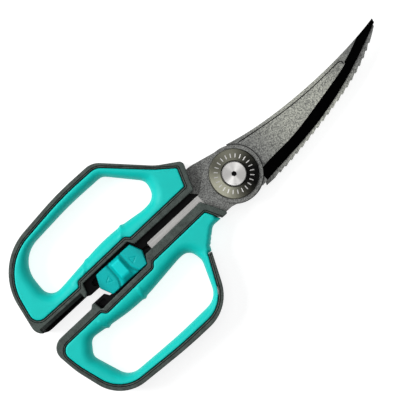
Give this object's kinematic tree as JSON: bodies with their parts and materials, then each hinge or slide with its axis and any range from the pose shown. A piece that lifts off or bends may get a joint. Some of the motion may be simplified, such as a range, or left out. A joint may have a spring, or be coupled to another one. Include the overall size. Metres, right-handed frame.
{
  "type": "poultry shears",
  "caption": "Spring-opened poultry shears with long curved blades, a toothed scaling edge, closed-loop cushioned handles and a slide lock.",
  "frame": {"origin": "on the pivot axis, in the plane the shears rest on", "axes": "+X from the pivot to the blade tips, +Y to the upper handle, +Z along the pivot axis to the side with the screw head"},
  "size_m": [0.2689, 0.1176, 0.017],
  "materials": {
    "coated_steel": "grained dark non-stick coating, polished grinds",
    "bright_steel": "fine turned",
    "gunmetal": "spun gunmetal",
    "slate_nylon": "fine satin moulding",
    "black_nylon": "satin moulding",
    "teal_rubber": "soft-touch matte",
    "teal_plastic": "satin moulding",
    "spring_steel": "rolled",
    "bearing_plastic": "smooth",
    "bronze": "machined"
  },
  "bodies": {
    "rear_half": {"rear_blade": "coated_steel", "upper_handle_frame": "slate_nylon", "upper_grip": "teal_rubber", "spring_housing": "gunmetal", "opening_spring": "spring_steel", "blade_washer": "bearing_plastic", "pivot_bush": "bronze", "stop_pin": "bright_steel", "bay_cover": "black_nylon"},
    "front_half": {"front_blade": "coated_steel", "lower_handle_frame": "slate_nylon", "lower_grip": "teal_rubber", "pivot_screw": "bright_steel", "front_disc": "gunmetal", "pivot_nut": "bright_steel", "wave_washer": "spring_steel"},
    "slide_lock": {"lock_button": "teal_plastic", "lock_carrier": "black_nylon", "lock_retainer": "black_nylon", "lock_screws": "bright_steel", "detent_spring": "spring_steel"}
  },
  "joints": [
    {"name": "blade_pivot", "type": "hinge", "parent": "rear_half", "child": "front_half", "pos_m": [0, 0, 0], "axis": [0, 0, 1], "range_deg": [0, 40], "deforming": ["opening_spring"]},
    {"name": "lock_slide", "type": "slide", "parent": "rear_half", "child": "slide_lock", "axis": [1, 0, 0], "range_m": [-0.008, 0], "deforming": ["detent_spring"]}
  ]
}
